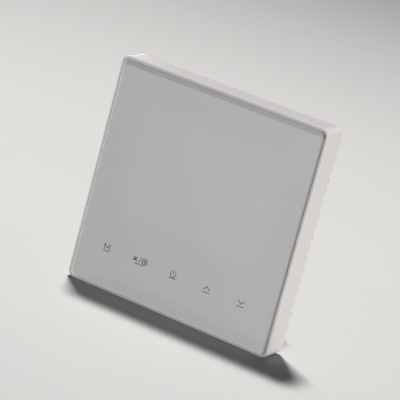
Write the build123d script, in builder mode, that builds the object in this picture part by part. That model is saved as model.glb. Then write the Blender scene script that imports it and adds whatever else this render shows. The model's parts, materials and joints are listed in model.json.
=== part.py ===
"""Wall thermostat for an 86 mm wall box: glass touch front, steel wall plate, plug-in rear module.

Units are millimetres. X points right as seen from the room, Z up, and Y into the wall.
The wall plane is y = 0, the front unit is at negative Y and the rear module at positive Y.
"""

import math
import os

from build123d import *

# Front case
CASE_SIZE = 86.0
CASE_RADIUS = 2.8
CASE_DEPTH = 11.5
CASE_WALL = 1.8
LIP_ROUND = 0.5
SHELF_FRONT = -9.1
SHELF_BACK = -7.8
SEAT_CLEARANCE = 0.1
VENT_PITCH = 4.2
VENT_WIDTH = 2.1
VENT_DEPTH = 1.2
VENTS_EACH_WAY = 7
PRY_NOTCH_WIDTH = 9.0
PRY_NOTCH_DEPTH = 1.9

# Glass panel, its print and the tape behind it
GLASS_SIZE = 84.2
GLASS_RADIUS = 2.0
GLASS_FRONT = -11.4
GLASS_BACK = -9.4
GLASS_ARRIS = 0.15
PRINT_BACK = -9.3
TAPE_WIDTH = 3.0

# Touch keys, left to right: mode, fan, power, up, down
KEY_ROW_CENTRE = -1.6
KEY_PITCH = 14.4
KEY_X = tuple(KEY_ROW_CENTRE + KEY_PITCH * k for k in (-2, -1, 0, 1, 2))
KEY_Z = -27.3
UNDERLINE_Z = -28.9
STROKE = 0.28
LETTER_HALF = 1.1
BLADES = 4
BLADE_LENGTH = 0.58
BLADE_WIDTH = 0.26
FAN_OFFSET = 2.0
SLASH_HALF = 0.35
GRID_PITCH = 0.95
RING_RADIUS = 1.25
RING_GAP = 1.4
BAR_FOOT = 0.15
BAR_OVERHANG = 0.3
CHEVRON_HALF = 1.25
CHEVRON_RISE = 0.6
SPRING_RADIUS = 2.7
SPRING_WIRE = 0.25
SPRING_PITCH = 0.8
SPRING_HOLE = 3.4
FIT_GAP = 0.02

# Display behind the glass
LCD_CENTRE_Z = 7.0
LCD_WIDTH = 62.0
LCD_HEIGHT = 46.0
LCD_WINDOW_GAP = 0.4
LCD_LEDGE = 3.5
LCD_FRONT = -8.95
LCD_PLY = 0.8
LCD_BACK = LCD_FRONT + 2 * LCD_PLY
LCD_PIN_COUNT = 24
LCD_PIN_PITCH = 2.4
LCD_PIN_Z = 28.6
LCD_PIN_HALF = 0.2
GUIDE_WIDTH = 59.0
GUIDE_BOTTOM = -14.5
GUIDE_TOP = 26.5
GUIDE_FRONT = -7.2
GUIDE_BACK = -5.6
GUIDE_LED_Z = (-6.0, 6.0, 18.0)
GUIDE_LED_GAP = 0.2
GUIDE_LED_THICK = 1.2
GUIDE_LED_HALF = 1.5

# Display board
BOARD_FRONT = -5.4
BOARD_BACK = -4.4
BOARD_WIDTH = 76.0
BOARD_HEIGHT = 72.0
BOARD_CORNER = 1.0
POST_X = 35.0
POST_Z = 32.0
POST_RADIUS = 2.5
POST_PILOT = 1.05
BOARD_SCREW_RADIUS = 1.0
BOARD_SCREW_HEAD = 2.0
BOARD_SCREW_HEAD_THICK = 1.3
BOARD_SCREW_TIP = SHELF_BACK + 0.3
RECESS_DEPTH = 0.7
RECESS_HALF_WIDTH = 0.25

# What stands on the display board
KEY_LED_SIZE = (2.0, 0.8, 1.2)
CHIP_X = -14.0
CHIP_Z = 6.0
CHIP_HALF = 6.0
CHIP_STANDOFF = 0.1
CHIP_THICK = 1.4
CHIP_CHAMFER = 0.25
CHIP_MARK = 4.6
LEAD_COUNT = 13
LEAD_PITCH = 0.8
LEAD_REACH = 1.2
LEAD_THICK = 0.3
LEAD_HALF = 0.18
PASSIVE_ROWS = 3
PASSIVE_COLUMNS = 6
PASSIVE_FIRST_X = 4.0
PASSIVE_FIRST_Z = -2.0
PASSIVE_PITCH_X = 3.4
PASSIVE_PITCH_Z = 5.0
PASSIVE_SIZE = (1.8, 0.6, 1.0)
SENSOR_X = 12.0
SENSOR_Z = -38.8
SENSOR_Y = BOARD_BACK + 1.0
SENSOR_RADIUS = 1.1
SENSOR_LENGTH = 2.4
SENSOR_ROUND = 0.6
SENSOR_LEAD_Z = -34.0
SENSOR_LEAD_GAP = 0.6
SENSOR_LEAD_HALF = 0.18

# Snap arms that hold the front unit on the wall plate
ARM_X = 22.0
ARM_Z = 37.5
ARM_WIDTH = 6.0
ARM_THICK = 1.4
ARM_END = -0.1
ARM_SLOT_EXTRA_X = 1.6
ARM_SLOT_EXTRA_Z = 1.2

# Plug-in link between the two boards
LINK_Z = 22.0
LINK_PITCH = 2.0
LINK_COLUMNS = 8
LINK_PIN = 0.5
LINK_PIN_END = 0.3
HEADER_HALF_X = 8.3
HEADER_HALF_Z = 2.2
HEADER_THICK = 1.6
HEADER_BORE = 0.52
SOCKET_HALF_X = 8.6
SOCKET_HALF_Z = 2.6
SOCKET_FRONT = -2.5
SOCKET_BORE = 0.64
SOCKET_BORE_END = 0.7
SOCKET_GAP = 0.3

# Wall plate
PLATE_SIZE = 80.0
PLATE_CORNER = 2.0
PLATE_THICK = 1.2
PLATE_HOLE_X = 30.0
PLATE_OPENING_GAP = 1.0
SLOT_WIDTH = 4.3
SLOT_LENGTH = 8.0
FLANGE_HOLE_X = 20.0
FLANGE_HOLE_Z = 30.0
FLANGE_HOLE_RADIUS = 1.3

# Rear housing and its cover
HOUSING_HALF_X = 24.0
HOUSING_HALF_Z = 27.0
HOUSING_WALL = 1.6
HOUSING_FRONT = -2.7
HOUSING_ROUND = 2.0
HOUSING_REAR_ROUND = 1.2
FLANGE_BACK = -1.2
FLANGE_HALF_Z = 33.0
FLANGE_ROUND = 2.0
DEEP_BACK = 26.0
STEP_Z = -14.6
STEP_BACK = 4.6
COVER_LEDGE = 0.8
COVER_GAP = 0.1
COVER_SLOTS = 6
COVER_SLOT_PITCH = 4.0
COVER_SLOT_FIRST_Z = -15.0
COVER_SLOT_HALF_X = 14.0
COVER_SLOT_HALF_Z = 0.6
SIDE_SLOTS = 5
SIDE_SLOT_PITCH = 5.0
SIDE_SLOT_FIRST_Z = -4.0
SIDE_SLOT_HALF_Z = 0.7
SIDE_SLOT_Y = (9.0, 21.0)
HOUSING_SCREW_HEAD = 2.2
HOUSING_SCREW_HEAD_THICK = 1.2
HOUSING_SCREW_RADIUS = 1.2
LABEL_BOX = (34.0, 0.1, 24.0)
LABEL_Z = 6.0

# Relay board and its screws
RELAY_BOARD_FRONT = 1.0
RELAY_BOARD_BACK = 2.6
RELAY_BOARD_WIDTH = 43.6
RELAY_BOARD_HEIGHT = 49.6
RELAY_POST_X = 19.2
RELAY_POST_Z = 21.8
RELAY_POST_RADIUS = 2.2
RELAY_PILOT_RADIUS = 0.85
RELAY_PILOT_END = 10.0
REST_X = 19.5
REST_HALF_X = 1.5
REST_Z = (-25.4, -22.4)
POWER_SCREW_HEAD = 1.8
POWER_SCREW_HEAD_THICK = 1.2
POWER_SCREW_RADIUS = 0.8
POWER_SCREW_TIP = 8.0

# What stands on the relay board
COMPONENT_BASE = RELAY_BOARD_BACK + 0.1
RELAY_COUNT = 4
RELAY_FIRST_X = -18.3
RELAY_PITCH = 7.8
RELAY_HALF_X = 3.6
RELAY_Z = (-11.8, 8.7)
RELAY_TALL = 15.3
RELAY_CHAMFER = 0.4
CORE_X = 15.7
CORE_Y = 9.2
CORE_Z = -4.0
CORE_HALF = (6.0, 2.5, 6.5)
CORE_WINDOW_X = (1.6, 4.6)
CORE_WINDOW_HALF_Z = 4.9
BOBBIN_HALF = (2.2, 3.1, 4.8)
BOBBIN_BORE = (1.65, 2.55)
BOBBIN_FLANGE = (4.4, 5.1, 3.9)
BOBBIN_FOOT = (5.4, 5.6, 7.2)
WINDING_HALF = (4.2, 4.8, 3.9)
WINDING_ROUND = 1.2
CAPACITOR_X = 16.0
CAPACITOR_Z = 11.4
CAPACITOR_RADIUS = 5.0
CAPACITOR_TALL = 16.5
CAPACITOR_ROUND = 0.6
SMALL_CAPACITOR_X = 6.2
SMALL_CAPACITOR_Z = 15.6
SMALL_CAPACITOR_RADIUS = 3.15
SMALL_CAPACITOR_TALL = 11.5
SMALL_CAPACITOR_ROUND = 0.5
VARISTOR_X = -3.2
VARISTOR_Y = 8.3
VARISTOR_Z = 15.2
VARISTOR_RADIUS = 4.5
VARISTOR_THICK = 3.6
VARISTOR_ROUND = 1.0
VARISTOR_LEAD_RADIUS = 0.3
VARISTOR_LEAD_OFFSET = 2.5
VARISTOR_LEAD_END = 4.3
FUSE_X = -13.6
FUSE_Z = 15.0
FUSE_RADIUS = 4.2
FUSE_TALL = 8.0
FUSE_ROUND = 0.4

# Terminal block: eight rising-cage clamps
POLES = 8
POLE_PITCH = 5.0
POLE_X = [(k - (POLES - 1) / 2) * POLE_PITCH for k in range(POLES)]
POLE_Z = -20.6
BLOCK_HALF_X = 21.0
BLOCK_BOTTOM = -26.6
BLOCK_TOP = -14.7
BLOCK_BACK = 17.6
BLOCK_CHAMFER = 0.8
ENTRY_HALF_X = 1.9
ENTRY_FRONT = 5.9
ENTRY_LEAD_IN = 0.3
RIB_HALF_X = 0.3
RIB_PROUD = 0.5
CHAMBER_HALF_X = 2.2
CHAMBER_HALF_Z = 4.0
CHAMBER_FRONT = 5.2
CONTACT_SLOT_HALF_X = 0.8
CONTACT_SLOT_BACK = 10.4
CAGE_HALF_X = 2.1
CAGE_HALF_Z = 3.0
CAGE_FRONT = 5.3
CAGE_BACK = 12.3
CAGE_WALL = 0.5
NUT_THICK = 1.5
SHOULDER_FRONT = 14.4
SHOULDER_BACK = 15.1
SCREW_RADIUS = 1.5
SCREW_CLEARANCE = 0.05
HEAD_RADIUS = 2.0
HEAD_CLEARANCE = 0.15
HEAD_FRONT = SHOULDER_BACK + 0.05
HEAD_BACK = 16.9
DRIVE_FRONT = 16.1
DRIVE_SLOT_HALF = 0.3
DRIVE_CROSS_HALF = 0.25
DRIVE_CROSS_REACH = 1.2
BAR_FRONT = 9.3
BAR_BACK = 10.1
BAR_HALF_X = 1.3
BAR_HALF_Z = 3.8
LEG_Z = -16.0
LEG_HALF_X = 0.6
LEG_HALF_Z = 0.4
LEG_TIP = 0.6
LEG_HOLE_RADIUS = 0.8
LEG_SLOT_HALF_X = 19.6


def block(x0, x1, y0, y1, z0, z1, mode=Mode.ADD):
    """Add or cut a box given by its limits."""
    with Locations(((x0 + x1) / 2, (y0 + y1) / 2, (z0 + z1) / 2)):
        Box(abs(x1 - x0), abs(y1 - y0), abs(z1 - z0), mode=mode)


def square_block(x, y0, y1, z, half_x, half_z, mode=Mode.ADD):
    """Add or cut a box along Y, given by its centre line and half widths."""
    block(x - half_x, x + half_x, y0, y1, z - half_z, z + half_z, mode)


def rod(x, z, radius, y0, y1, mode=Mode.ADD):
    """Add or cut a cylinder along Y."""
    with Locations((x, (y0 + y1) / 2, z)):
        Cylinder(radius, abs(y1 - y0), rotation=(90, 0, 0), mode=mode)


def stroke(x0, z0, x1, z1):
    """Draw one straight stroke of a key legend on the XZ plane."""
    length = math.hypot(x1 - x0, z1 - z0)
    angle = math.degrees(math.atan2(z1 - z0, x1 - x0))
    with Locations(((x0 + x1) / 2, (z0 + z1) / 2)):
        Rectangle(length + STROKE, STROKE, rotation=angle)


def underline(x, length):
    """Draw the short line under a legend."""
    stroke(x - length / 2, UNDERLINE_Z, x + length / 2, UNDERLINE_Z)


def screw_recess(x, z, y_top, y_bottom, reach):
    """Cut a cross recess into a screw head."""
    square_block(x, y_top, y_bottom, z, reach, RECESS_HALF_WIDTH, Mode.SUBTRACT)
    square_block(x, y_top, y_bottom, z, RECESS_HALF_WIDTH, reach, Mode.SUBTRACT)


def corners(x, z):
    """The four points at plus and minus x and z."""
    return [(sx * x, sz * z) for sx in (-1, 1) for sz in (-1, 1)]


def link_points():
    """Centres of the link's pins."""
    columns = [(k - (LINK_COLUMNS - 1) / 2) * LINK_PITCH for k in range(LINK_COLUMNS)]
    return [(x, LINK_Z + row * LINK_PITCH / 2) for x in columns for row in (-1, 1)]


os.makedirs("parts", exist_ok=True)

# ---------------------------------------------------------------- front unit

with BuildPart() as front_case:
    with BuildSketch(Plane.XZ):
        RectangleRounded(CASE_SIZE, CASE_SIZE, CASE_RADIUS)
    extrude(amount=CASE_DEPTH)
    fillet(front_case.faces().sort_by(Axis.Y)[0].edges(), LIP_ROUND)
    inner = CASE_SIZE - 2 * CASE_WALL
    with BuildSketch(Plane.XZ):
        RectangleRounded(inner, inner, CASE_RADIUS - CASE_WALL)
    extrude(amount=-SHELF_BACK, mode=Mode.SUBTRACT)
    seat = GLASS_SIZE + 2 * SEAT_CLEARANCE
    with BuildSketch(Plane.XZ.offset(-SHELF_FRONT)):
        RectangleRounded(seat, seat, GLASS_RADIUS + SEAT_CLEARANCE)
    extrude(amount=CASE_DEPTH, mode=Mode.SUBTRACT)
    # Display window and the holes that the touch springs stand in
    with BuildSketch(Plane.XZ.offset(-SHELF_BACK)):
        with Locations((0, LCD_CENTRE_Z)):
            Rectangle(LCD_WIDTH + LCD_WINDOW_GAP, LCD_HEIGHT + LCD_WINDOW_GAP)
        with Locations(*[(x, KEY_Z) for x in KEY_X]):
            Circle(SPRING_HOLE)
    extrude(amount=SHELF_BACK - SHELF_FRONT, mode=Mode.SUBTRACT)
    for x, z in corners(POST_X, POST_Z):
        rod(x, z, POST_RADIUS, SHELF_BACK, BOARD_FRONT)
        rod(x, z, POST_PILOT, SHELF_BACK, BOARD_FRONT, Mode.SUBTRACT)
    for x, z in corners(ARM_X, ARM_Z):
        square_block(x, SHELF_BACK, ARM_END, z, ARM_WIDTH / 2, ARM_THICK / 2)
    # Comb of vent notches along the rear edge of every side
    half = CASE_SIZE / 2
    cut_depth = CASE_WALL + 0.5
    for k in range(-VENTS_EACH_WAY, VENTS_EACH_WAY + 1):
        low = k * VENT_PITCH - VENT_WIDTH / 2
        high = k * VENT_PITCH + VENT_WIDTH / 2
        for side in (-1, 1):
            edge = side * half
            block(edge, edge - side * cut_depth, -VENT_DEPTH, 0, low, high, Mode.SUBTRACT)
            block(low, high, -VENT_DEPTH, 0, edge, edge - side * cut_depth, Mode.SUBTRACT)
    # Wider notch at the bottom for levering the front unit off
    block(
        -PRY_NOTCH_WIDTH / 2, PRY_NOTCH_WIDTH / 2, -PRY_NOTCH_DEPTH, 0,
        -half, -half + cut_depth, Mode.SUBTRACT,
    )
front_case.part.label = "front_case"
export_step(front_case.part, "parts/front_case.step")

with BuildPart() as glass_panel:
    with BuildSketch(Plane.XZ.offset(-GLASS_BACK)):
        RectangleRounded(GLASS_SIZE, GLASS_SIZE, GLASS_RADIUS)
    extrude(amount=GLASS_BACK - GLASS_FRONT)
    chamfer(glass_panel.faces().sort_by(Axis.Y)[0].edges(), GLASS_ARRIS)
glass_panel.part.label = "glass_panel"
export_step(glass_panel.part, "parts/glass_panel.step")

with BuildPart() as key_legends:
    with BuildSketch(Plane.XZ.offset(-PRINT_BACK)):
        # Mode key: a plain letter with a line under it
        x = KEY_X[0]
        top = KEY_Z + LETTER_HALF
        foot = KEY_Z - LETTER_HALF
        stroke(x - LETTER_HALF, foot, x - LETTER_HALF, top)
        stroke(x - LETTER_HALF, top, x, KEY_Z - LETTER_HALF / 2)
        stroke(x, KEY_Z - LETTER_HALF / 2, x + LETTER_HALF, top)
        stroke(x + LETTER_HALF, top, x + LETTER_HALF, foot)
        underline(x, 2.4)
        # Fan key: four blades, a slash and a small window of four panes
        x = KEY_X[1]
        for blade in range(BLADES):
            turn = 45 + 360 / BLADES * blade
            blade_x = x - FAN_OFFSET + BLADE_LENGTH * math.cos(math.radians(turn))
            blade_z = KEY_Z + BLADE_LENGTH * math.sin(math.radians(turn))
            with Locations((blade_x, blade_z)):
                Ellipse(BLADE_LENGTH, BLADE_WIDTH, rotation=turn)
        stroke(x - SLASH_HALF, foot, x + SLASH_HALF, top)
        grid_x = x + FAN_OFFSET
        for k in (-1, 0, 1):
            column = grid_x + GRID_PITCH * k
            row = KEY_Z + GRID_PITCH * k
            stroke(column, KEY_Z - GRID_PITCH, column, KEY_Z + GRID_PITCH)
            stroke(grid_x - GRID_PITCH, row, grid_x + GRID_PITCH, row)
        underline(x, 3.7)
        # Power key: an open ring with a bar
        x = KEY_X[2]
        with Locations((x, KEY_Z)):
            Circle(RING_RADIUS)
            Circle(RING_RADIUS - STROKE, mode=Mode.SUBTRACT)
        with Locations((x, KEY_Z + RING_RADIUS)):
            Rectangle(RING_GAP, RING_GAP, mode=Mode.SUBTRACT)
        stroke(x, KEY_Z + BAR_FOOT, x, KEY_Z + RING_RADIUS + BAR_OVERHANG)
        underline(x, 2.5)
        # Up and down keys: chevrons
        for x, rise in ((KEY_X[3], CHEVRON_RISE), (KEY_X[4], -CHEVRON_RISE)):
            stroke(x - CHEVRON_HALF, KEY_Z - rise, x, KEY_Z + rise)
            stroke(x, KEY_Z + rise, x + CHEVRON_HALF, KEY_Z - rise)
            underline(x, 2.7)
    extrude(amount=PRINT_BACK - GLASS_BACK)
key_legends.part.label = "key_legends"
export_step(key_legends.part, "parts/key_legends.step")

with BuildPart() as panel_print:
    with BuildSketch(Plane.XZ.offset(-PRINT_BACK)):
        RectangleRounded(GLASS_SIZE, GLASS_SIZE, GLASS_RADIUS)
    extrude(amount=PRINT_BACK - GLASS_BACK)
    # The legends are windows in the print, filled with their own ink
    add(key_legends.part, mode=Mode.SUBTRACT)
panel_print.part.label = "panel_print"
export_step(panel_print.part, "parts/panel_print.step")

with BuildPart() as bonding_tape:
    with BuildSketch(Plane.XZ.offset(-SHELF_FRONT)):
        RectangleRounded(GLASS_SIZE, GLASS_SIZE, GLASS_RADIUS)
        Rectangle(GLASS_SIZE - 2 * TAPE_WIDTH, GLASS_SIZE - 2 * TAPE_WIDTH, mode=Mode.SUBTRACT)
    extrude(amount=SHELF_FRONT - PRINT_BACK)
bonding_tape.part.label = "bonding_tape"
export_step(bonding_tape.part, "parts/bonding_tape.step")

with BuildPart() as lcd_glass:
    half = LCD_WIDTH / 2
    bottom = LCD_CENTRE_Z - LCD_HEIGHT / 2
    top = LCD_CENTRE_Z + LCD_HEIGHT / 2
    block(-half, half, LCD_FRONT + LCD_PLY, LCD_BACK, bottom, top)
    block(-half, half, LCD_FRONT, LCD_FRONT + LCD_PLY, bottom, top - LCD_LEDGE)
lcd_glass.part.label = "lcd_glass"
export_step(lcd_glass.part, "parts/lcd_glass.step")

with BuildPart() as lcd_pins:
    for k in range(LCD_PIN_COUNT):
        x = (k - (LCD_PIN_COUNT - 1) / 2) * LCD_PIN_PITCH
        square_block(x, LCD_BACK, BOARD_BACK + 0.4, LCD_PIN_Z, LCD_PIN_HALF, LCD_PIN_HALF)
lcd_pins.part.label = "lcd_pins"
export_step(lcd_pins.part, "parts/lcd_pins.step")

with BuildPart() as diffuser_film:
    block(-GUIDE_WIDTH / 2, GUIDE_WIDTH / 2, LCD_BACK, GUIDE_FRONT, GUIDE_BOTTOM, GUIDE_TOP)
diffuser_film.part.label = "diffuser_film"
export_step(diffuser_film.part, "parts/diffuser_film.step")

with BuildPart() as backlight_guide:
    block(-GUIDE_WIDTH / 2, GUIDE_WIDTH / 2, GUIDE_FRONT, GUIDE_BACK, GUIDE_BOTTOM, GUIDE_TOP)
backlight_guide.part.label = "backlight_guide"
export_step(backlight_guide.part, "parts/backlight_guide.step")

with BuildPart() as backlight_leds:
    near = GUIDE_WIDTH / 2 + GUIDE_LED_GAP
    for z in GUIDE_LED_Z:
        block(
            near, near + GUIDE_LED_THICK, BOARD_FRONT - GUIDE_LED_THICK, BOARD_FRONT,
            z - GUIDE_LED_HALF, z + GUIDE_LED_HALF,
        )
backlight_leds.part.label = "backlight_leds"
export_step(backlight_leds.part, "parts/backlight_leds.step")

with BuildPart() as display_board:
    with BuildSketch(Plane.XZ.offset(-BOARD_BACK)):
        RectangleRounded(BOARD_WIDTH, BOARD_HEIGHT, BOARD_CORNER)
        with GridLocations(2 * POST_X, 2 * POST_Z, 2, 2):
            Circle(BOARD_SCREW_RADIUS + 0.2, mode=Mode.SUBTRACT)
        with Locations((0, LCD_PIN_Z)):
            with GridLocations(LCD_PIN_PITCH, 1, LCD_PIN_COUNT, 1):
                Circle(LCD_PIN_HALF + 0.15, mode=Mode.SUBTRACT)
        with Locations(*link_points()):
            Circle(LINK_PIN / 2 + 0.2, mode=Mode.SUBTRACT)
        with Locations((SENSOR_X, SENSOR_LEAD_Z)):
            with GridLocations(2 * SENSOR_LEAD_GAP, 1, 2, 1):
                Circle(SENSOR_LEAD_HALF + 0.12, mode=Mode.SUBTRACT)
    extrude(amount=BOARD_BACK - BOARD_FRONT)
display_board.part.label = "display_board"
export_step(display_board.part, "parts/display_board.step")

with BuildPart() as board_screws:
    head_top = BOARD_BACK + BOARD_SCREW_HEAD_THICK
    for x, z in corners(POST_X, POST_Z):
        rod(x, z, BOARD_SCREW_HEAD, BOARD_BACK, head_top)
        rod(x, z, BOARD_SCREW_RADIUS, BOARD_SCREW_TIP, BOARD_BACK)
        screw_recess(x, z, head_top, head_top - RECESS_DEPTH, 1.1)
board_screws.part.label = "board_screws"
export_step(board_screws.part, "parts/board_screws.step")

with BuildPart() as one_spring:
    travel = BOARD_FRONT - PRINT_BACK - 2 * (SPRING_WIRE + FIT_GAP)
    start = (0, BOARD_FRONT - SPRING_WIRE - FIT_GAP, KEY_Z)
    with BuildLine():
        coil = Helix(SPRING_PITCH, travel, SPRING_RADIUS, center=start, direction=(0, -1, 0))
    with BuildSketch(Plane(origin=coil @ 0, z_dir=coil % 0)):
        Circle(SPRING_WIRE)
    sweep(path=coil, is_frenet=True)

with BuildPart() as touch_springs:
    with Locations(*[(x, 0, 0) for x in KEY_X]):
        add(one_spring.part)
touch_springs.part.label = "touch_springs"
export_step(touch_springs.part, "parts/touch_springs.step")

with BuildPart() as key_leds:
    wide, thick, tall = KEY_LED_SIZE
    for x in KEY_X:
        square_block(x, BOARD_FRONT - thick, BOARD_FRONT, KEY_Z, wide / 2, tall / 2)
key_leds.part.label = "key_leds"
export_step(key_leds.part, "parts/key_leds.step")

with BuildPart() as controller_chip:
    chip_top = BOARD_BACK + CHIP_STANDOFF + CHIP_THICK
    square_block(CHIP_X, BOARD_BACK + CHIP_STANDOFF, chip_top, CHIP_Z, CHIP_HALF, CHIP_HALF)
    chamfer(controller_chip.faces().sort_by(Axis.Y)[-1].edges(), CHIP_CHAMFER)
    rod(CHIP_X - CHIP_MARK, CHIP_Z + CHIP_MARK, 0.5, chip_top - 0.1, chip_top, Mode.SUBTRACT)
controller_chip.part.label = "controller_chip"
export_step(controller_chip.part, "parts/controller_chip.step")

with BuildPart() as chip_leads:
    lead_top = BOARD_BACK + LEAD_THICK
    middle = CHIP_HALF + LEAD_REACH / 2
    for k in range(LEAD_COUNT):
        offset = (k - (LEAD_COUNT - 1) / 2) * LEAD_PITCH
        for side in (-middle, middle):
            square_block(
                CHIP_X + side, BOARD_BACK, lead_top, CHIP_Z + offset, LEAD_REACH / 2, LEAD_HALF
            )
            square_block(
                CHIP_X + offset, BOARD_BACK, lead_top, CHIP_Z + side, LEAD_HALF, LEAD_REACH / 2
            )
chip_leads.part.label = "chip_leads"
export_step(chip_leads.part, "parts/chip_leads.step")

with BuildPart() as board_passives:
    wide, thick, tall = PASSIVE_SIZE
    for row in range(PASSIVE_ROWS):
        for column in range(PASSIVE_COLUMNS):
            x = PASSIVE_FIRST_X + PASSIVE_PITCH_X * column
            z = PASSIVE_FIRST_Z + PASSIVE_PITCH_Z * row
            square_block(x, BOARD_BACK, BOARD_BACK + thick, z, wide / 2, tall / 2)
board_passives.part.label = "board_passives"
export_step(board_passives.part, "parts/board_passives.step")

with BuildPart() as room_sensor:
    half = SENSOR_LEAD_HALF
    with Locations((SENSOR_X, SENSOR_Y, SENSOR_Z)):
        Cylinder(SENSOR_RADIUS, SENSOR_LENGTH)
    fillet(room_sensor.edges().filter_by(GeomType.CIRCLE), SENSOR_ROUND)
    for x in (SENSOR_X - SENSOR_LEAD_GAP, SENSOR_X + SENSOR_LEAD_GAP):
        block(
            x - half, x + half, SENSOR_Y - half, SENSOR_Y + half, SENSOR_Z, SENSOR_LEAD_Z + half
        )
        square_block(x, BOARD_FRONT, SENSOR_Y, SENSOR_LEAD_Z, half, half)
room_sensor.part.label = "room_sensor"
export_step(room_sensor.part, "parts/room_sensor.step")

with BuildPart() as link_header:
    header_back = BOARD_BACK + HEADER_THICK
    square_block(0, BOARD_BACK, header_back, LINK_Z, HEADER_HALF_X, HEADER_HALF_Z)
    for x, z in link_points():
        half = HEADER_BORE / 2
        square_block(x, BOARD_BACK, header_back, z, half, half, Mode.SUBTRACT)
link_header.part.label = "link_header"
export_step(link_header.part, "parts/link_header.step")

with BuildPart() as link_pins:
    for x, z in link_points():
        square_block(x, BOARD_FRONT, LINK_PIN_END, z, LINK_PIN / 2, LINK_PIN / 2)
link_pins.part.label = "link_pins"
export_step(link_pins.part, "parts/link_pins.step")

# ---------------------------------------------------------------- wall plate

with BuildPart() as mounting_plate:
    with BuildSketch(Plane.XZ):
        RectangleRounded(PLATE_SIZE, PLATE_SIZE, PLATE_CORNER)
        Rectangle(
            2 * HOUSING_HALF_X + PLATE_OPENING_GAP, 2 * HOUSING_HALF_Z + PLATE_OPENING_GAP,
            mode=Mode.SUBTRACT,
        )
        with Locations((-PLATE_HOLE_X, 0), (PLATE_HOLE_X, 0)):
            SlotOverall(SLOT_LENGTH, SLOT_WIDTH, mode=Mode.SUBTRACT)
        with Locations(*corners(ARM_X, ARM_Z)):
            Rectangle(ARM_WIDTH + ARM_SLOT_EXTRA_X, ARM_THICK + ARM_SLOT_EXTRA_Z, mode=Mode.SUBTRACT)
        with Locations(*corners(FLANGE_HOLE_X, FLANGE_HOLE_Z)):
            Circle(FLANGE_HOLE_RADIUS, mode=Mode.SUBTRACT)
    extrude(amount=PLATE_THICK)
mounting_plate.part.label = "mounting_plate"
export_step(mounting_plate.part, "parts/mounting_plate.step")

# ---------------------------------------------------------------- rear module

with BuildPart() as rear_housing:
    hx = HOUSING_HALF_X
    hz = HOUSING_HALF_Z
    w = HOUSING_WALL
    # Deep tub with rounded edges, then the shallow step under it and the two flanges
    block(-hx, hx, HOUSING_FRONT, DEEP_BACK, STEP_Z, hz)
    block(-hx, hx, HOUSING_FRONT, STEP_BACK, -hz, STEP_Z)
    block(-hx, hx, HOUSING_FRONT, FLANGE_BACK, hz, FLANGE_HALF_Z)
    block(-hx, hx, HOUSING_FRONT, FLANGE_BACK, -FLANGE_HALF_Z, -hz)
    flange_corners = rear_housing.edges().filter_by(Axis.Y).filter_by_position(
        Axis.Y, HOUSING_FRONT, FLANGE_BACK
    )
    fillet(flange_corners, FLANGE_ROUND)
    tub_corners = rear_housing.edges().filter_by(Axis.Y).sort_by(Axis.Y)[-4:]
    fillet(tub_corners.sort_by(Axis.Z), HOUSING_ROUND)
    fillet(rear_housing.faces().sort_by(Axis.Y)[-1].edges(), HOUSING_REAR_ROUND)
    # Inside of the tub, of the step, and the ledge for the cover
    block(-hx + w, hx - w, HOUSING_FRONT, DEEP_BACK - w, STEP_Z + w, hz - w, Mode.SUBTRACT)
    block(-hx + w, hx - w, HOUSING_FRONT, STEP_BACK - w, -hz + w, STEP_Z + w, Mode.SUBTRACT)
    ledge = w - COVER_LEDGE
    block(
        -hx + ledge, hx - ledge, HOUSING_FRONT, FLANGE_BACK, -hz + ledge, hz - ledge, Mode.SUBTRACT
    )
    for side in (-1, 1):
        # Relay board posts at the top, rests at the bottom
        x = side * RELAY_POST_X
        rod(x, RELAY_POST_Z, RELAY_POST_RADIUS, RELAY_BOARD_BACK, DEEP_BACK - w)
        rod(x, RELAY_POST_Z, RELAY_PILOT_RADIUS, RELAY_BOARD_BACK, RELAY_PILOT_END, Mode.SUBTRACT)
        block(
            side * REST_X - REST_HALF_X, side * REST_X + REST_HALF_X,
            RELAY_BOARD_BACK, STEP_BACK - w, *REST_Z,
        )
        # Cooling slots in the side wall
        for k in range(SIDE_SLOTS):
            z = SIDE_SLOT_FIRST_Z + SIDE_SLOT_PITCH * k
            block(
                side * (hx - w - 0.2), side * hx, *SIDE_SLOT_Y,
                z - SIDE_SLOT_HALF_Z, z + SIDE_SLOT_HALF_Z, Mode.SUBTRACT,
            )
    for x, z in corners(FLANGE_HOLE_X, FLANGE_HOLE_Z):
        rod(x, z, FLANGE_HOLE_RADIUS, HOUSING_FRONT, FLANGE_BACK, Mode.SUBTRACT)
    # Slot that the terminal legs pass through
    block(
        -LEG_SLOT_HALF_X, LEG_SLOT_HALF_X, STEP_BACK - w, STEP_BACK,
        LEG_Z - 3 * LEG_HALF_Z, LEG_Z + 2 * LEG_HALF_Z, Mode.SUBTRACT,
    )
rear_housing.part.label = "rear_housing"
export_step(rear_housing.part, "parts/rear_housing.step")

with BuildPart() as housing_cover:
    inset = HOUSING_WALL - COVER_LEDGE + COVER_GAP
    square_block(
        0, HOUSING_FRONT, FLANGE_BACK - COVER_GAP / 2, 0,
        HOUSING_HALF_X - inset, HOUSING_HALF_Z - inset,
    )
    square_block(
        0, HOUSING_FRONT, FLANGE_BACK, LINK_Z,
        SOCKET_HALF_X + SOCKET_GAP, SOCKET_HALF_Z + SOCKET_GAP, Mode.SUBTRACT,
    )
    for k in range(COVER_SLOTS):
        z = COVER_SLOT_FIRST_Z + COVER_SLOT_PITCH * k
        square_block(
            0, HOUSING_FRONT, FLANGE_BACK, z, COVER_SLOT_HALF_X, COVER_SLOT_HALF_Z, Mode.SUBTRACT
        )
housing_cover.part.label = "housing_cover"
export_step(housing_cover.part, "parts/housing_cover.step")

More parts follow.
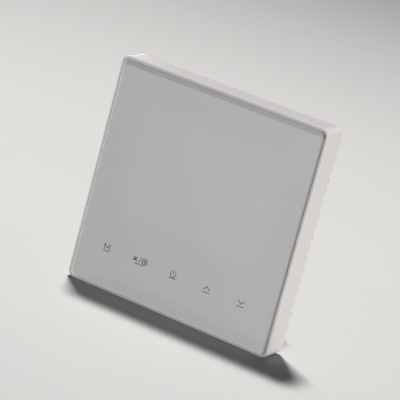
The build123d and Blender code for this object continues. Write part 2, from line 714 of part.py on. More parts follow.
with BuildPart() as housing_screws:
    head_top = HOUSING_FRONT - HOUSING_SCREW_HEAD_THICK
    for x, z in corners(FLANGE_HOLE_X, FLANGE_HOLE_Z):
        rod(x, z, HOUSING_SCREW_HEAD, head_top, HOUSING_FRONT)
        rod(x, z, HOUSING_SCREW_RADIUS, HOUSING_FRONT, -0.1)
        screw_recess(x, z, head_top, head_top + RECESS_DEPTH, 1.2)
housing_screws.part.label = "housing_screws"
export_step(housing_screws.part, "parts/housing_screws.step")

with BuildPart() as power_board:
    with BuildSketch(Plane.XZ.offset(-RELAY_BOARD_BACK)):
        Rectangle(RELAY_BOARD_WIDTH, RELAY_BOARD_HEIGHT)
        with Locations((-RELAY_POST_X, RELAY_POST_Z), (RELAY_POST_X, RELAY_POST_Z)):
            Circle(POWER_SCREW_RADIUS + 0.3, mode=Mode.SUBTRACT)
        with Locations(*[(x, LEG_Z) for x in POLE_X]):
            Circle(LEG_HOLE_RADIUS, mode=Mode.SUBTRACT)
    extrude(amount=RELAY_BOARD_BACK - RELAY_BOARD_FRONT)
power_board.part.label = "power_board"
export_step(power_board.part, "parts/power_board.step")

with BuildPart() as power_board_screws:
    head_top = RELAY_BOARD_FRONT - POWER_SCREW_HEAD_THICK
    for x in (-RELAY_POST_X, RELAY_POST_X):
        rod(x, RELAY_POST_Z, POWER_SCREW_HEAD, head_top, RELAY_BOARD_FRONT)
        rod(x, RELAY_POST_Z, POWER_SCREW_RADIUS, RELAY_BOARD_FRONT, POWER_SCREW_TIP)
        screw_recess(x, RELAY_POST_Z, head_top, head_top + RECESS_DEPTH, 1.0)
power_board_screws.part.label = "power_board_screws"
export_step(power_board_screws.part, "parts/power_board_screws.step")

with BuildPart() as relays:
    for k in range(RELAY_COUNT):
        x = RELAY_FIRST_X + RELAY_PITCH * k
        block(
            x - RELAY_HALF_X, x + RELAY_HALF_X, COMPONENT_BASE, COMPONENT_BASE + RELAY_TALL, *RELAY_Z
        )
    relay_tops = relays.faces().filter_by(Plane.XZ).sort_by(Axis.Y)[-RELAY_COUNT:]
    chamfer(relay_tops.edges(), RELAY_CHAMFER)
relays.part.label = "relays"
export_step(relays.part, "parts/relays.step")

with BuildPart() as transformer_core:
    core_x, core_y, core_z = CORE_HALF
    low = CORE_Y - core_y
    high = CORE_Y + core_y
    square_block(CORE_X, low, high, CORE_Z, core_x, core_z)
    window_near, window_far = CORE_WINDOW_X
    for side in (-1, 1):
        block(
            CORE_X + side * window_near, CORE_X + side * window_far, low, high,
            CORE_Z - CORE_WINDOW_HALF_Z, CORE_Z + CORE_WINDOW_HALF_Z, Mode.SUBTRACT,
        )
transformer_core.part.label = "transformer_core"
export_step(transformer_core.part, "parts/transformer_core.step")

with BuildPart() as transformer_bobbin:
    tube_x, tube_y, tube_z = BOBBIN_HALF
    bore_x, bore_y = BOBBIN_BORE
    flange_x, flange_y, flange_z = BOBBIN_FLANGE
    foot_x, foot_y, foot_z = BOBBIN_FOOT
    square_block(CORE_X, CORE_Y - tube_y, CORE_Y + tube_y, CORE_Z, tube_x, tube_z)
    for side in (-1, 1):
        flange_start = CORE_Z + side * flange_z
        block(
            CORE_X - flange_x, CORE_X + flange_x, CORE_Y - flange_y, CORE_Y + flange_y,
            flange_start, CORE_Z + side * tube_z,
        )
        block(
            CORE_X - foot_x, CORE_X + foot_x, COMPONENT_BASE, foot_y,
            flange_start, CORE_Z + side * foot_z,
        )
    square_block(
        CORE_X, CORE_Y - bore_y, CORE_Y + bore_y, CORE_Z, bore_x, tube_z, Mode.SUBTRACT
    )
transformer_bobbin.part.label = "transformer_bobbin"
export_step(transformer_bobbin.part, "parts/transformer_bobbin.step")

with BuildPart() as transformer_winding:
    wind_x, wind_y, wind_z = WINDING_HALF
    tube_x, tube_y, tube_z = BOBBIN_HALF
    square_block(CORE_X, CORE_Y - wind_y, CORE_Y + wind_y, CORE_Z, wind_x, wind_z)
    fillet(transformer_winding.edges().filter_by(Axis.Z), WINDING_ROUND)
    square_block(
        CORE_X, CORE_Y - tube_y, CORE_Y + tube_y, CORE_Z, tube_x, wind_z, Mode.SUBTRACT
    )
transformer_winding.part.label = "transformer_winding"
export_step(transformer_winding.part, "parts/transformer_winding.step")

with BuildPart() as bulk_capacitor:
    tall = COMPONENT_BASE + CAPACITOR_TALL
    rod(CAPACITOR_X, CAPACITOR_Z, CAPACITOR_RADIUS, COMPONENT_BASE, tall)
    fillet(bulk_capacitor.edges().filter_by(GeomType.CIRCLE), CAPACITOR_ROUND)
bulk_capacitor.part.label = "bulk_capacitor"
export_step(bulk_capacitor.part, "parts/bulk_capacitor.step")

with BuildPart() as output_capacitor:
    tall = COMPONENT_BASE + SMALL_CAPACITOR_TALL
    rod(SMALL_CAPACITOR_X, SMALL_CAPACITOR_Z, SMALL_CAPACITOR_RADIUS, COMPONENT_BASE, tall)
    fillet(output_capacitor.edges().filter_by(GeomType.CIRCLE), SMALL_CAPACITOR_ROUND)
output_capacitor.part.label = "output_capacitor"
export_step(output_capacitor.part, "parts/output_capacitor.step")

with BuildPart() as varistor:
    with Locations((VARISTOR_X, VARISTOR_Y, VARISTOR_Z)):
        Cylinder(VARISTOR_RADIUS, VARISTOR_THICK, rotation=(0, 90, 0))
    fillet(varistor.edges().filter_by(GeomType.CIRCLE), VARISTOR_ROUND)
varistor.part.label = "varistor"
export_step(varistor.part, "parts/varistor.step")

with BuildPart() as varistor_leads:
    for z in (VARISTOR_Z - VARISTOR_LEAD_OFFSET, VARISTOR_Z + VARISTOR_LEAD_OFFSET):
        rod(VARISTOR_X, z, VARISTOR_LEAD_RADIUS, RELAY_BOARD_BACK, VARISTOR_LEAD_END)
varistor_leads.part.label = "varistor_leads"
export_step(varistor_leads.part, "parts/varistor_leads.step")

with BuildPart() as fuse:
    rod(FUSE_X, FUSE_Z, FUSE_RADIUS, COMPONENT_BASE, COMPONENT_BASE + FUSE_TALL)
    fillet(fuse.edges().filter_by(GeomType.CIRCLE), FUSE_ROUND)
fuse.part.label = "fuse"
export_step(fuse.part, "parts/fuse.step")

with BuildPart() as link_socket:
    square_block(0, SOCKET_FRONT, RELAY_BOARD_FRONT, LINK_Z, SOCKET_HALF_X, SOCKET_HALF_Z)
    for x, z in link_points():
        half = SOCKET_BORE / 2
        square_block(x, SOCKET_FRONT, SOCKET_BORE_END, z, half, half, Mode.SUBTRACT)
link_socket.part.label = "link_socket"
export_step(link_socket.part, "parts/link_socket.step")

with BuildPart() as terminal_block:
    block(-BLOCK_HALF_X, BLOCK_HALF_X, STEP_BACK, BLOCK_BACK, BLOCK_BOTTOM, BLOCK_TOP)
    rear_edges = terminal_block.faces().sort_by(Axis.Y)[-1].edges()
    chamfer(rear_edges.filter_by(Axis.X), BLOCK_CHAMFER)
    for x in POLE_X:
        # Chamber for the cage, wire entry, contact slot, screw hole and head well
        square_block(
            x, CHAMBER_FRONT, SHOULDER_FRONT, POLE_Z, CHAMBER_HALF_X, CHAMBER_HALF_Z, Mode.SUBTRACT
        )
        block(
            x - ENTRY_HALF_X, x + ENTRY_HALF_X, ENTRY_FRONT, BAR_FRONT,
            BLOCK_BOTTOM, POLE_Z, Mode.SUBTRACT,
        )
        block(
            x - CONTACT_SLOT_HALF_X, x + CONTACT_SLOT_HALF_X, STEP_BACK, CONTACT_SLOT_BACK,
            POLE_Z, LEG_Z + CONTACT_SLOT_HALF_X, Mode.SUBTRACT,
        )
        rod(x, POLE_Z, SCREW_RADIUS + SCREW_CLEARANCE, SHOULDER_FRONT, SHOULDER_BACK, Mode.SUBTRACT)
        rod(x, POLE_Z, HEAD_RADIUS + HEAD_CLEARANCE, SHOULDER_BACK, BLOCK_BACK, Mode.SUBTRACT)
    bottom_face = terminal_block.faces().sort_by(Axis.Z)[0]
    entry_edges = [edge for wire in bottom_face.inner_wires() for edge in wire.edges()]
    chamfer(entry_edges, ENTRY_LEAD_IN)
    # Thin ribs that keep neighbouring wires apart
    for k in range(POLES + 1):
        x = (k - POLES / 2) * POLE_PITCH
        block(
            x - RIB_HALF_X, x + RIB_HALF_X, STEP_BACK, BLOCK_BACK - 2 * BLOCK_CHAMFER,
            BLOCK_BOTTOM - RIB_PROUD, BLOCK_BOTTOM,
        )
terminal_block.part.label = "terminal_block"
export_step(terminal_block.part, "parts/terminal_block.step")

with BuildPart() as terminal_contacts:
    for x in POLE_X:
        square_block(x, BAR_FRONT, BAR_BACK, POLE_Z, BAR_HALF_X, BAR_HALF_Z)
        block(
            x - LEG_HALF_X, x + LEG_HALF_X, BAR_FRONT, BAR_BACK,
            POLE_Z + BAR_HALF_Z, LEG_Z + LEG_HALF_Z,
        )
        square_block(x, LEG_TIP, BAR_FRONT, LEG_Z, LEG_HALF_X, LEG_HALF_Z)
terminal_contacts.part.label = "terminal_contacts"
export_step(terminal_contacts.part, "parts/terminal_contacts.step")

for number, x in enumerate(POLE_X, start=1):
    with BuildPart() as terminal_screw:
        rod(x, POLE_Z, SCREW_RADIUS, BAR_BACK + 0.3, HEAD_FRONT)
        rod(x, POLE_Z, HEAD_RADIUS, HEAD_FRONT, HEAD_BACK)
        square_block(
            x, DRIVE_FRONT, HEAD_BACK, POLE_Z, HEAD_RADIUS, DRIVE_SLOT_HALF, Mode.SUBTRACT
        )
        square_block(
            x, DRIVE_FRONT, HEAD_BACK, POLE_Z, DRIVE_CROSS_HALF, DRIVE_CROSS_REACH, Mode.SUBTRACT
        )
    terminal_screw.part.label = f"terminal_screw_{number}"
    export_step(terminal_screw.part, f"parts/terminal_screw_{number}.step")

for number, x in enumerate(POLE_X, start=1):
    with BuildPart() as terminal_clamp:
        nut_front = CAGE_BACK - NUT_THICK
        square_block(x, CAGE_FRONT, CAGE_BACK, POLE_Z, CAGE_HALF_X, CAGE_HALF_Z)
        square_block(
            x, CAGE_FRONT + CAGE_WALL, nut_front, POLE_Z,
            CAGE_HALF_X - CAGE_WALL, CAGE_HALF_Z, Mode.SUBTRACT,
        )
        rod(x, POLE_Z, SCREW_RADIUS + SCREW_CLEARANCE, nut_front, CAGE_BACK, Mode.SUBTRACT)
    terminal_clamp.part.label = f"terminal_clamp_{number}"
    export_step(terminal_clamp.part, f"parts/terminal_clamp_{number}.step")

with BuildPart() as rating_label:
    wide, thick, tall = LABEL_BOX
    square_block(0, DEEP_BACK, DEEP_BACK + thick, LABEL_Z, wide / 2, tall / 2)
rating_label.part.label = "rating_label"
export_step(rating_label.part, "parts/rating_label.step")
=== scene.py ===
"""Looks, light and camera for the wall thermostat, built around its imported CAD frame.

Lengths are in metres, in the row frame: X right, Y into the wall, Z up. Textures and turned
profiles are in millimetres, and say so.
"""

import json
import math
from collections import namedtuple

import bmesh
import bpy
from mathutils import Matrix, Vector


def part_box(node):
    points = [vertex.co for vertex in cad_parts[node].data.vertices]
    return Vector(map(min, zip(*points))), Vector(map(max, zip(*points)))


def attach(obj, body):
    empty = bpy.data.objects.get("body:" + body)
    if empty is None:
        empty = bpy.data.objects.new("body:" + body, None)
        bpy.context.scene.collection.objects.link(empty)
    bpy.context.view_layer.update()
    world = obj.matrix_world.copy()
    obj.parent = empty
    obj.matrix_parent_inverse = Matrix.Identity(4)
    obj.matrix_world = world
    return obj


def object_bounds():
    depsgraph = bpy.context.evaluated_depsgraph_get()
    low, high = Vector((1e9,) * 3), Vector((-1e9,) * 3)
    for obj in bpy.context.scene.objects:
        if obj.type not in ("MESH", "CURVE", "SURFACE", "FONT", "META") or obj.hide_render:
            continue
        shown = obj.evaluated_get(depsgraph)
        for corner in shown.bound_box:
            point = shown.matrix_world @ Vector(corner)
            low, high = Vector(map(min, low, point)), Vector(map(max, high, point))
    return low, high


MM = 0.001

# Camera: where it stands as seen from the object, its roll and its aim. Angles are in degrees,
# and the lens and the sensor in millimetres
CAMERA_AZIMUTH = 25.58
CAMERA_ELEVATION = 14.17
CAMERA_ROLL = 15.1
CAMERA_DISTANCE = 0.8438
CAMERA_LENS = 209.8
CAMERA_SENSOR = 36.0
CAMERA_NEAR = 0.01
CAMERA_FAR = 50.0
AIM_LEFT = 3.38 * MM
AIM_UP = 0.79 * MM

# Floor and sky
FLOOR_SIZE = 12.0
FLOOR_COLOUR = (0.50, 0.493, 0.48)
FLOOR_DRIFT = 0.01
WORLD_COLOUR = (0.94, 0.97, 1.0)
WORLD_STRENGTH = 0.09

# Square lamps: where each stands, the length of its side and its power in watts
Lamp = namedtuple("Lamp", "name place size power")
FLOOR_LAMP = Lamp("key", (-0.20, 0.22, 1.126), 0.12, 20.0)
OBJECT_LAMPS = (
    Lamp("top", (-0.2, 0.35, 1.2), 0.3, 10.0),
    Lamp("front", (0.05, -0.78, 1.03), 0.10, 2.2),
    Lamp("fill", (0.9, -1.3, 0.3), 0.7, 9.7),
    Lamp("side", (1.5, 0.15, 0.4), 0.3, 11.0),
    Lamp("back", (-0.9, 1.2, 0.1), 0.3, 7.0),
)

# The glass plate, and the print and the legends behind it
GLASS_CLEAR = (0.985, 0.99, 0.985)
GLASS_TO_LAMPS = (0.98, 0.985, 0.98)
GROUND_EDGE = (0.97, 0.965, 0.95)
PRINT_COLOUR = (0.83, 0.822, 0.826)
DISPLAY_PALER = 1.022
DISPLAY_SOFT_EDGE = 3.0 * MM
LEGEND_COLOUR = (0.08, 0.08, 0.08)

# Moulded plastics by slot: grain in features to a millimetre, and its height in millimetres
PLASTICS = {
    "white_case": dict(
        colour=(0.68, 0.648, 0.637), roughness=0.40, grain=5.0, height=0.010, drift=0.012
    ),
    "tape": dict(colour=(0.02, 0.02, 0.02), roughness=0.8, grain=3.0, height=0.03),
    "lcd_glass": dict(
        colour=(0.10, 0.12, 0.10), roughness=0.12, grain=1.0, height=0.001, coat=0.5
    ),
    "diffuser": dict(colour=(0.85, 0.85, 0.84), roughness=0.5, grain=6.0, height=0.01),
    "light_guide": dict(
        colour=(0.80, 0.82, 0.82), roughness=0.15, grain=1.2, height=0.05, coat=0.5
    ),
    "led_white": dict(colour=(0.80, 0.74, 0.42), roughness=0.3, grain=3.0, height=0.01),
    "black_epoxy": dict(
        colour=(0.018, 0.018, 0.02), roughness=0.55, grain=7.0, height=0.02, drift=0.1
    ),
    "ceramic": dict(colour=(0.38, 0.27, 0.17), roughness=0.5, grain=2.0, height=0.02, drift=0.2),
    "sensor_epoxy": dict(
        colour=(0.02, 0.02, 0.02), roughness=0.18, grain=1.2, height=0.05, coat=0.5
    ),
    "black_nylon": dict(
        colour=(0.022, 0.022, 0.023), roughness=0.48, grain=5.0, height=0.02, drift=0.08
    ),
    "white_housing": dict(
        colour=(0.76, 0.755, 0.735), roughness=0.52, grain=3.0, height=0.03, drift=0.015
    ),
    "relay_case": dict(
        colour=(0.015, 0.015, 0.017), roughness=0.30, grain=4.0, height=0.01, drift=0.1
    ),
    "capacitor_sleeve": dict(
        colour=(0.02, 0.022, 0.045), roughness=0.25, grain=2.0, height=0.006, coat=0.4
    ),
    "blue_epoxy": dict(
        colour=(0.02, 0.07, 0.32), roughness=0.3, grain=0.8, height=0.10, drift=0.08, coat=0.3
    ),
    "brown_epoxy": dict(colour=(0.10, 0.035, 0.018), roughness=0.35, grain=3.0, height=0.01),
    "terminal_green": dict(
        colour=(0.035, 0.22, 0.08), roughness=0.42, grain=4.0, height=0.02, drift=0.05
    ),
}

# Plated metals by slot
METALS = {
    "tinned_metal": dict(colour=(0.66, 0.66, 0.64), roughness=0.3),
    "screw_steel": dict(colour=(0.62, 0.62, 0.60), roughness=0.28),
    "spring_steel": dict(colour=(0.66, 0.65, 0.62), roughness=0.22),
    "gold_pins": dict(colour=(0.80, 0.60, 0.25), roughness=0.22),
    "tinned_brass": dict(colour=(0.66, 0.60, 0.46), roughness=0.3),
    "terminal_screw": dict(colour=(0.64, 0.64, 0.62), roughness=0.30, scale=4.0),
    "clamp_steel": dict(colour=(0.52, 0.52, 0.54), roughness=0.34, stretch=(1, 0.3, 1)),
}

# Edge breaks on the CAD nodes whose edges show. The angle is in degrees
EDGE_BREAKS = {
    "mounting_plate": 0.12 * MM,
    "rear_housing": 0.20 * MM,
    "housing_cover": 0.20 * MM,
    "terminal_block": 0.06 * MM,
    "link_header": 0.12 * MM,
    "link_socket": 0.12 * MM,
    "relays": 0.25 * MM,
    "front_case": 0.10 * MM,
    "board_screws": 0.08 * MM,
    "housing_screws": 0.08 * MM,
    "board_passives": 0.08 * MM,
    "room_sensor": 0.05 * MM,
}
BREAK_SEGMENTS = 2
BREAK_ANGLE = 35
WELD_GAP = 0.002 * MM

# Solder and test pads on the display board. Profiles are (radius, height) points in millimetres
LCD_PIN_COUNT = 24
CHIP_LEAD_COUNT = 13
CHIP_LEAD_PITCH = 0.8 * MM
PAD_COUNT = 7
PAD_PITCH = 4.0 * MM
PIN_SOLDER = ((0.95, 0.0), (0.62, 0.06), (0.40, 0.20), (0.29, 0.38), (0.0, 0.46))
TOE_SOLDER = ((0.30, 0.0), (0.27, 0.10), (0.16, 0.19), (0.0, 0.23))
PAD_RINGS = ((0.80, 0.0), (0.78, 0.04), (0.42, 0.05), (0.36, 0.02), (0.0, 0.02))
TURN_STEPS = 16

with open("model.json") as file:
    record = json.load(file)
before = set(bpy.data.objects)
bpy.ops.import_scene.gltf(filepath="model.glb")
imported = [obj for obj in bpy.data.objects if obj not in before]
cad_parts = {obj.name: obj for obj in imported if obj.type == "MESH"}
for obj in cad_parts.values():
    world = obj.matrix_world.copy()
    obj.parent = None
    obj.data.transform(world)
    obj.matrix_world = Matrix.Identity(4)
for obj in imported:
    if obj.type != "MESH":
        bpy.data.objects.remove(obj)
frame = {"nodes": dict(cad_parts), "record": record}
nodes = frame["nodes"]
cad_low, cad_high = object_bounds()


# ---------------------------------------------------------------- material helpers


def fill(node, **values):
    """Set a node's inputs by name, with underscores for spaces. Colours leave out their alpha."""
    for key, value in values.items():
        socket = node.inputs[key.replace("_", " ")]
        socket.default_value = (*value, 1.0) if socket.type == "RGBA" else value


class Shader:
    """A material's node tree, with short calls for the nodes that these materials share."""

    def __init__(self, name, **values):
        self.material = bpy.data.materials.new(name)
        self.material.use_nodes = True
        self.tree = self.material.node_tree
        self.bsdf = self.tree.nodes["Principled BSDF"]
        self.coordinates = self.node("ShaderNodeTexCoord")
        fill(self.bsdf, **values)

    def node(self, kind, **settings):
        made = self.tree.nodes.new(kind)
        for key, value in settings.items():
            setattr(made, key, value)
        return made

    def link(self, source, target):
        self.tree.links.new(source, target)

    def millimetres(self, stretch=(1, 1, 1), turn=0):
        """Object coordinates in millimetres, stretched, and turned about X by that many degrees."""
        mapping = self.node("ShaderNodeMapping")
        mapping.inputs["Scale"].default_value = [factor / MM for factor in stretch]
        mapping.inputs["Rotation"].default_value = (math.radians(turn), 0, 0)
        self.link(self.coordinates.outputs["Object"], mapping.inputs["Vector"])
        return mapping.outputs["Vector"]

    def noise(self, scale, detail=3.0, stretch=(1, 1, 1)):
        """Noise with that many features to a millimetre."""
        made = self.node("ShaderNodeTexNoise")
        fill(made, Scale=scale, Detail=detail)
        self.link(self.millimetres(stretch), made.inputs["Vector"])
        return made.outputs["Fac"]

    def component(self, vector, axis):
        """One component of a vector."""
        made = self.node("ShaderNodeSeparateXYZ")
        self.link(vector, made.inputs["Vector"])
        return made.outputs[axis]

    def calculate(self, operation, *terms):
        """Arithmetic on outputs and plain numbers."""
        made = self.node("ShaderNodeMath", operation=operation)
        for socket, term in zip(made.inputs, terms):
            if isinstance(term, float):
                socket.default_value = term
            else:
                self.link(term, socket)
        return made.outputs["Value"]

    def remap(self, source, low, high, from_low=0.3, from_high=0.7):
        """The source with its own range carried to the one from low to high."""
        made = self.node("ShaderNodeMapRange")
        fill(made, From_Min=from_low, From_Max=from_high, To_Min=low, To_Max=high)
        self.link(source, made.inputs["Value"])
        return made.outputs["Result"]

    def ramp(self, source, *stops):
        """Colour ramp with (position, colour) stops."""
        made = self.node("ShaderNodeValToRGB")
        elements = made.color_ramp.elements
        while len(elements) < len(stops):
            elements.new(0.5)
        for element, (position, colour) in zip(elements, stops):
            element.position = position
            element.color = (*colour, 1.0)
        self.link(source, made.inputs["Fac"])
        return made.outputs["Color"]

    def mix(self, share, first, second):
        """Two shaders mixed, with that share of the second."""
        made = self.node("ShaderNodeMixShader")
        for socket, source in zip(made.inputs, (share, first, second)):
            self.link(source, socket)
        return made.outputs["Shader"]

    def paint(self, source, *stops):
        """Colour the surface by a ramp."""
        self.link(self.ramp(source, *stops), self.bsdf.inputs["Base Color"])

    def roughen(self, source, low, high, from_low=0.3, from_high=0.7):
        """Vary the surface's roughness from low to high."""
        rough = self.remap(source, low, high, from_low, from_high)
        self.link(rough, self.bsdf.inputs["Roughness"])

    def bump(self, source, height, strength):
        """Bump of that height in millimetres."""
        made = self.node("ShaderNodeBump")
        fill(made, Strength=strength, Distance=height * MM)
        self.link(source, made.inputs["Height"])
        self.link(made.outputs["Normal"], self.bsdf.inputs["Normal"])


def shade(colour, factor):
    """The colour, lighter or darker."""
    return tuple(min(1.0, channel * factor) for channel in colour)


def around(colour, drift):
    """Ramp stops from a little darker than the colour to as much lighter."""
    return (0.3, shade(colour, 1.0 - drift)), (0.7, shade(colour, 1.0 + drift))


# ---------------------------------------------------------------- materials


def plastic(name, colour, roughness, grain, height, drift=0.03, coat=0.0):
    """Moulded plastic: slight colour drift, fine spark-eroded grain and uneven gloss."""
    look = Shader(name, Roughness=roughness, IOR=1.49, Coat_Weight=coat)
    look.paint(look.noise(0.05, detail=2.0), *around(colour, drift))
    fine = look.noise(grain)
    look.roughen(fine, roughness * 0.88, roughness * 1.12)
    look.bump(fine, height, strength=0.35)
    return look.material


def metal(name, colour, roughness, scale=3.0, stretch=(1, 1, 1)):
    """Plated metal with fine marks, which a small stretch draws out along its axis."""
    look = Shader(name, Metallic=1.0, Roughness=roughness)
    marks = look.noise(scale, detail=4.0, stretch=stretch)
    look.paint(marks, (0.25, shade(colour, 0.86)), (0.75, shade(colour, 1.08)))
    look.roughen(marks, roughness * 0.75, roughness * 1.3)
    look.bump(marks, height=0.004, strength=0.5)
    return look.material


def edge_mask(look):
    """1 on the glass plate's edge faces and 0 on its front and back, from the object's own normal."""
    facing = look.component(look.coordinates.outputs["Normal"], "Y")
    return look.remap(look.calculate("ABSOLUTE", facing), 1.0, 0.0, from_low=0.80, from_high=0.95)


def clear_glass():
    """Polished tempered glass with ground edges. Lamps shine straight through to the print behind."""
    look = Shader("clear_glass", Base_Color=GLASS_CLEAR, Roughness=0.015, IOR=1.5)
    fill(look.bsdf, Transmission_Weight=1.0)
    look.bump(look.noise(0.06, detail=1.0), height=0.002, strength=0.2)
    ground = look.node("ShaderNodeBsdfDiffuse")
    look.link(look.ramp(look.noise(4.0), *around(GROUND_EDGE, 0.04)), ground.inputs["Color"])
    plate = look.mix(edge_mask(look), look.bsdf.outputs["BSDF"], ground.outputs["BSDF"])
    clear = look.node("ShaderNodeBsdfTransparent")
    fill(clear, Color=GLASS_TO_LAMPS)
    to_lamp = look.node("ShaderNodeLightPath").outputs["Is Shadow Ray"]
    surface = look.mix(to_lamp, plate, clear.outputs["BSDF"])
    look.link(surface, look.tree.nodes["Material Output"].inputs["Surface"])
    return look.material


def display_mask(look):
    """1 inside the display's outline and 0 outside it, with a soft edge."""
    low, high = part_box("lcd_glass")
    middle = (low + high) / 2 / MM
    half = (high - low) / 2 / MM
    place = look.millimetres()
    inside = []
    for axis, centre, reach in (("X", middle.x, half.x), ("Z", middle.z, half.z)):
        offset = look.calculate("SUBTRACT", look.component(place, axis), centre)
        distance = look.calculate("ABSOLUTE", offset)
        inside.append(look.remap(distance, 1.0, 0.0, reach - DISPLAY_SOFT_EDGE / MM, reach))
    return look.calculate("MULTIPLY", *inside)


def grey_print():
    """Screen-printed ink behind the glass. It is thinner over the display, which looks paler."""
    look = Shader("grey_print", Roughness=0.6)
    over_display = shade(PRINT_COLOUR, DISPLAY_PALER)
    look.paint(display_mask(look), (0.0, PRINT_COLOUR), (1.0, over_display))
    look.bump(look.noise(0.8, detail=2.0), height=0.002, strength=0.1)
    return look.material


def legend_ink():
    """Dark grey ink of the legends."""
    look = Shader("legend_ink", Roughness=0.55)
    look.paint(look.noise(3.0), *around(LEGEND_COLOUR, 0.08))
    look.bump(look.noise(8.0), height=0.003, strength=0.2)
    return look.material


def zinc_plate():
    """Galvanised sheet: crystal spangle with its own brightness and gloss in each grain."""
    look = Shader("zinc_plate", Metallic=1.0, Roughness=0.38)
    spangle = look.node("ShaderNodeTexVoronoi")
    fill(spangle, Scale=0.28)
    look.link(look.millimetres(), spangle.inputs["Vector"])
    grey = look.node("ShaderNodeRGBToBW")
    look.link(spangle.outputs["Color"], grey.inputs["Color"])
    grain = grey.outputs["Val"]
    look.paint(grain, (0.2, (0.50, 0.51, 0.53)), (0.8, (0.68, 0.69, 0.70)))
    look.roughen(grain, 0.30, 0.50, from_low=0.2, from_high=0.8)
    look.bump(look.noise(2.0, detail=4.0), height=0.006, strength=0.4)
    return look.material


def green_board():
    """Solder mask over copper tracks: the tracks show as slightly raised, paler lines."""
    look = Shader("green_board", Roughness=0.32, Coat_Weight=0.25)
    tracks = look.node("ShaderNodeTexBrick", offset=0.37, squash=0.6, squash_frequency=3)
    fill(tracks, Scale=1.0, Brick_Width=5.2, Row_Height=1.9, Mortar_Size=0.16, Mortar_Smooth=0.1)
    look.link(look.millimetres(turn=90), tracks.inputs["Vector"])
    pour = look.ramp(look.noise(0.09, detail=0.0), (0.48, (0, 0, 0)), (0.52, (1, 1, 1)))
    lines = look.calculate("MULTIPLY", tracks.outputs["Fac"], pour)
    look.paint(lines, (0.0, (0.012, 0.085, 0.035)), (1.0, (0.03, 0.17, 0.07)))
    look.bump(lines, height=0.03, strength=0.6)
    return look.material


def yellow_tape():
    """Polyester tape wound round the transformer, with its layers' edges."""
    look = Shader("yellow_tape", Roughness=0.28, Coat_Weight=0.4)
    colour = (0.72, 0.46, 0.03)
    layers = look.node("ShaderNodeTexWave", wave_type="BANDS", bands_direction="Z")
    fill(layers, Scale=0.5, Distortion=0.6)
    look.link(look.millimetres(), layers.inputs["Vector"])
    bands = layers.outputs["Fac"]
    look.paint(bands, (0.0, shade(colour, 0.8)), (0.4, colour), (1.0, shade(colour, 1.1)))
    look.bump(bands, height=0.03, strength=0.5)
    return look.material


def label_paper():
    """Blank label: satin paper with a thin printed frame and empty rows."""
    look = Shader("label_paper", Roughness=0.5)
    rows = look.node("ShaderNodeTexBrick", offset=0.0)
    fill(rows, Color1=(0.80, 0.80, 0.79), Color2=(0.78, 0.78, 0.77), Mortar=(0.42, 0.42, 0.42))
    fill(rows, Scale=1.0, Brick_Width=17.0, Row_Height=4.0, Mortar_Size=0.10)
    look.link(look.millimetres(turn=90), rows.inputs["Vector"])
    look.link(rows.outputs["Color"], look.bsdf.inputs["Base Color"])
    look.bump(look.noise(5.0), height=0.004, strength=0.3)
    return look.material


def ferrite():
    """Sintered core: dark, faintly metallic and a little rough."""
    look = Shader("ferrite", Roughness=0.55, Metallic=0.3)
    mottle = look.noise(3.0, detail=5.0)
    look.paint(mottle, (0.3, (0.03, 0.03, 0.033)), (0.7, (0.075, 0.075, 0.08)))
    look.bump(look.noise(7.0, detail=4.0), height=0.02, strength=0.6)
    return look.material


SPECIAL = {
    "clear_glass": clear_glass,
    "grey_print": grey_print,
    "legend_ink": legend_ink,
    "zinc_plate": zinc_plate,
    "green_board": green_board,
    "yellow_tape": yellow_tape,
    "label_paper": label_paper,
    "ferrite": ferrite,
}


def make_material(slot):
    """The material for one slot of the record."""
    if slot in PLASTICS:
        return plastic(slot, **PLASTICS[slot])
    if slot in METALS:
        return metal(slot, **METALS[slot])
    return SPECIAL[slot]()


def dress_nodes():
    """Give every CAD node the material of its slot in the record."""
    made = {}
    for entry in frame["record"]["subparts"]:
        slot = entry["material_slot"]
        if slot not in made:
            made[slot] = make_material(slot)
        mesh = nodes[entry["node"]].data
        mesh.materials.clear()
        mesh.materials.append(made[slot])
    return made


materials = dress_nodes()


# ---------------------------------------------------------------- small detail


def soften(node, width):
    """Break a CAD node's sharp edges, as moulding, stamping or turning leaves them."""
    weld = nodes[node].modifiers.new("weld", "WELD")
    weld.merge_threshold = WELD_GAP
    bevel = nodes[node].modifiers.new("edge_break", "BEVEL")
    bevel.width = width
    bevel.segments = BREAK_SEGMENTS
    bevel.limit_method = "ANGLE"
    bevel.angle_limit = math.radians(BREAK_ANGLE)
    bevel.harden_normals = True
    even = nodes[node].modifiers.new("even_normals", "WEIGHTED_NORMAL")
    even.keep_sharp = True


def add_ring(build, centre, radius, height):
    """A ring of points about Y. With no radius it is one point, listed once for each step."""
    y = centre.y + height * MM
    if radius == 0:
        return [build.verts.new((centre.x, y, centre.z))] * TURN_STEPS
    ring = []
    for step in range(TURN_STEPS):
        angle = 2 * math.pi * step / TURN_STEPS
        x = centre.x + radius * MM * math.cos(angle)
        z = centre.z + radius * MM * math.sin(angle)
        ring.append(build.verts.new((x, y, z)))
    return ring


def add_turned(build, centre, profile):
    """A shape turned about Y."""
    rings = [add_ring(build, centre, radius, height) for radius, height in profile]
    for lower, upper in zip(rings, rings[1:]):
        for step in range(TURN_STEPS):
            after = (step + 1) % TURN_STEPS
            # A point that comes twice counts once, which leaves a triangle
            corners = dict.fromkeys((lower[step], lower[after], upper[after], upper[step]))
            face = build.faces.new(list(corners))
            face.smooth = True


def turned_piece(name, centres, profile, body, slot):
    """One piece made of the same turned shape at every centre."""
    build = bmesh.new()
    for centre in centres:
        add_turned(build, centre, profile)
    bmesh.ops.recalc_face_normals(build, faces=build.faces)
    mesh = bpy.data.meshes.new(name)
    build.to_mesh(mesh)
    build.free()
    piece = bpy.data.objects.new(name, mesh)
    bpy.context.collection.objects.link(piece)
    mesh.materials.append(materials[slot])
    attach(piece, body)


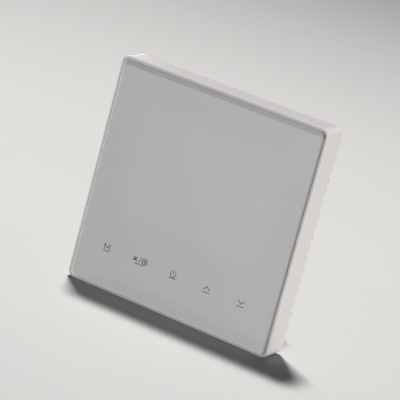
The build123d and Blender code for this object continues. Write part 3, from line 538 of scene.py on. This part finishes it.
def in_a_row(first, last, count):
    """That many places in a row, from the first to the last."""
    return [first + (last - first) * k / (count - 1) for k in range(count)]


def offsets(pitch, count):
    """That many offsets, a pitch apart, from the middle of their row."""
    reach = (count - 1) / 2 * pitch
    return in_a_row(-reach, reach, count)


def add_solder():
    """Solder round the display's pins and at the toe of each lead of the controller."""
    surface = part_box("display_board")[1].y
    low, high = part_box("lcd_pins")
    half = (high.z - low.z) / 2
    places = in_a_row(low.x + half, high.x - half, LCD_PIN_COUNT)
    centres = [Vector((x, surface, low.z + half)) for x in places]
    turned_piece("pin_solder", centres, PIN_SOLDER, "front_unit", "tinned_metal")
    low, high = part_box("chip_leads")
    middle = (low + high) / 2
    centres = []
    for offset in offsets(CHIP_LEAD_PITCH, CHIP_LEAD_COUNT):
        centres += [Vector((x, surface, middle.z + offset)) for x in (low.x, high.x)]
        centres += [Vector((middle.x + offset, surface, z)) for z in (low.z, high.z)]
    turned_piece("lead_solder", centres, TOE_SOLDER, "front_unit", "tinned_metal")


def add_test_pads():
    """Row of gilt test pads under the controller."""
    low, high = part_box("chip_leads")
    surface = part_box("display_board")[1].y
    middle = (low.x + high.x) / 2
    z = low.z - PAD_PITCH
    centres = [Vector((middle + offset, surface, z)) for offset in offsets(PAD_PITCH, PAD_COUNT)]
    turned_piece("test_pads", centres, PAD_RINGS, "front_unit", "gold_pins")


# ---------------------------------------------------------------- studio


def add_floor():
    """Large plain floor at the object's lowest point."""
    mesh = bpy.data.meshes.new("floor")
    build = bmesh.new()
    bmesh.ops.create_grid(build, x_segments=1, y_segments=1, size=FLOOR_SIZE / 2)
    build.to_mesh(mesh)
    build.free()
    floor = bpy.data.objects.new("floor", mesh)
    bpy.context.collection.objects.link(floor)
    floor.location = (0, 0, cad_low.z)
    look = Shader("floor", Roughness=0.7)
    look.paint(look.noise(0.01, detail=2.0), *around(FLOOR_COLOUR, FLOOR_DRIFT))
    mesh.materials.append(look.material)
    return floor


def add_light(lamp, floor, state):
    """Square soft light that faces the object. Its state includes the floor alone, or excludes it."""
    data = bpy.data.lights.new(lamp.name, "AREA")
    data.shape = "SQUARE"
    data.size = lamp.size
    data.energy = lamp.power
    light = bpy.data.objects.new(lamp.name, data)
    bpy.context.collection.objects.link(light)
    light.location = lamp.place
    light.rotation_euler = Vector(lamp.place).to_track_quat("Z", "Y").to_euler()
    receivers = bpy.data.collections.new(lamp.name + "_receivers")
    receivers.objects.link(floor)
    light.light_linking.receiver_collection = receivers
    receivers.collection_objects[0].light_linking.link_state = state


def add_studio(floor):
    """A pale sky, a lamp from above for the floor and its shadow, and softer ones for the object."""
    world = bpy.data.worlds.new("studio")
    bpy.context.scene.world = world
    world.use_nodes = True
    fill(world.node_tree.nodes["Background"], Color=WORLD_COLOUR, Strength=WORLD_STRENGTH)
    add_light(FLOOR_LAMP, floor, "INCLUDE")
    for lamp in OBJECT_LAMPS:
        add_light(lamp, floor, "EXCLUDE")
    bpy.context.scene.view_settings.view_transform = "Standard"


def add_camera():
    """Camera from its azimuth, elevation, roll, distance and aim."""
    azimuth = math.radians(CAMERA_AZIMUTH)
    elevation = math.radians(CAMERA_ELEVATION)
    level = math.cos(elevation)
    away = Vector((math.sin(azimuth) * level, -math.cos(azimuth) * level, math.sin(elevation)))
    turn = away.to_track_quat("Z", "Y").to_matrix()
    roll = Matrix.Rotation(math.radians(CAMERA_ROLL), 3, "Z")
    matrix = (turn @ roll).to_4x4()
    right = matrix.col[0].to_3d()
    up = matrix.col[1].to_3d()
    matrix.translation = away * CAMERA_DISTANCE - right * AIM_LEFT + up * AIM_UP
    data = bpy.data.cameras.new("camera")
    data.lens = CAMERA_LENS
    data.sensor_width = CAMERA_SENSOR
    data.clip_start = CAMERA_NEAR
    data.clip_end = CAMERA_FAR
    camera = bpy.data.objects.new("camera", data)
    bpy.context.collection.objects.link(camera)
    camera.matrix_world = matrix
    bpy.context.scene.camera = camera


for softened_node, break_width in EDGE_BREAKS.items():
    soften(softened_node, break_width)
add_solder()
add_test_pads()
add_studio(add_floor())
add_camera()
